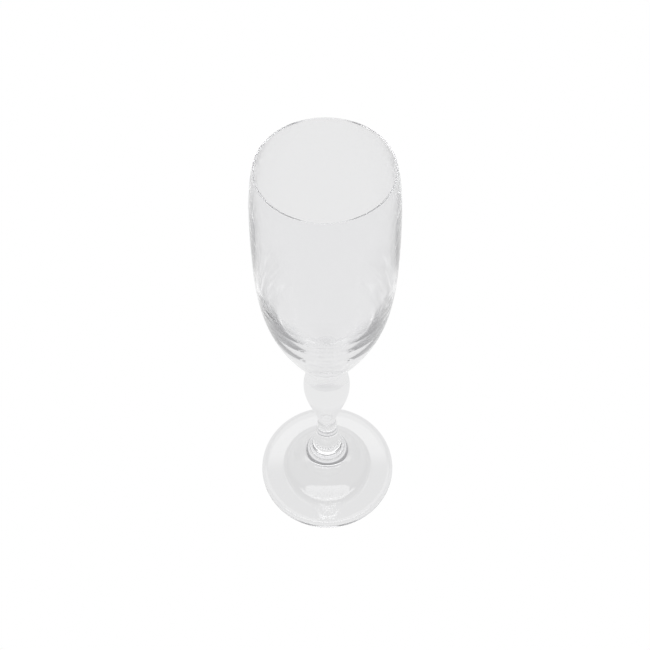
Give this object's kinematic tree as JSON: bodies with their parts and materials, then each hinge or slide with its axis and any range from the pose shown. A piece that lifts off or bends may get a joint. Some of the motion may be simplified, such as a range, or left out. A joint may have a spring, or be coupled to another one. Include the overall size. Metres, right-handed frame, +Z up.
{
  "type": "champagne flute",
  "caption": "Tall clear-glass champagne flute: slim tulip bowl with a slightly tucked-in mouth, solid baluster knop, short trumpet stem and a round foot.",
  "frame": {"origin": "on the flute's axis, in the plane of the flat ring that the foot rests on", "axes": "+Z up along the axis from the foot to the mouth; the flute is round, so +X and +Y are any two level directions"},
  "size_m": [0.069, 0.069, 0.225],
  "materials": {
    "clear_glass": "clear, colourless, fire-polished"
  },
  "bodies": {
    "root": {"foot": "clear_glass", "stem": "clear_glass", "knop": "clear_glass", "bowl": "clear_glass"}
  },
  "joints": []
}
